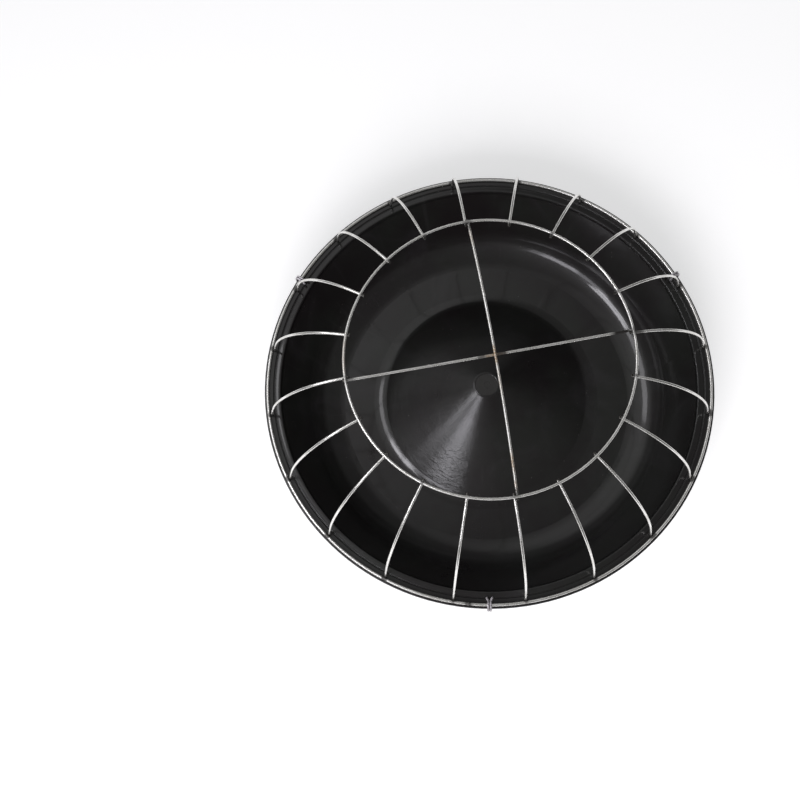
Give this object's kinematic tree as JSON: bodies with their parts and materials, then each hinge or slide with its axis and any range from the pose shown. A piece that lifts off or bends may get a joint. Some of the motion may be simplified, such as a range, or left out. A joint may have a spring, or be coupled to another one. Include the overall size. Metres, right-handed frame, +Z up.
{
  "type": "poultry feeding trough",
  "caption": "Round black plastic feed pan with a centre cone and a domed galvanised wire guard tied to its rim, so birds feed between the spokes.",
  "frame": {"origin": "centre of the pan's flat base", "axes": "+Z up out of the pan; +X along the lower cross wire of the guard and +Y along the upper one; the front tie is near -Y"},
  "size_m": [0.45, 0.45, 0.1584],
  "materials": {
    "black_plastic": "moulded recycled plastic, half gloss",
    "galvanised_wire": "galvanised drawn wire",
    "tie_wire": "dull galvanised tie wire"
  },
  "bodies": {
    "root": {"pan": "black_plastic", "rim_ring": "galvanised_wire", "top_ring": "galvanised_wire", "cross_wire_upper": "galvanised_wire", "cross_wire_lower": "galvanised_wire", "spoke_01": "galvanised_wire", "spoke_02": "galvanised_wire", "spoke_03": "galvanised_wire", "spoke_04": "galvanised_wire", "spoke_05": "galvanised_wire", "spoke_06": "galvanised_wire", "spoke_07": "galvanised_wire", "spoke_08": "galvanised_wire", "spoke_09": "galvanised_wire", "spoke_10": "galvanised_wire", "spoke_11": "galvanised_wire", "spoke_12": "galvanised_wire", "spoke_13": "galvanised_wire", "spoke_14": "galvanised_wire", "spoke_15": "galvanised_wire", "spoke_16": "galvanised_wire", "spoke_17": "galvanised_wire", "spoke_18": "galvanised_wire", "spoke_19": "galvanised_wire", "spoke_20": "galvanised_wire", "rim_tie_right": "tie_wire", "rim_tie_left": "tie_wire", "rim_tie_front": "tie_wire"}
  },
  "joints": []
}
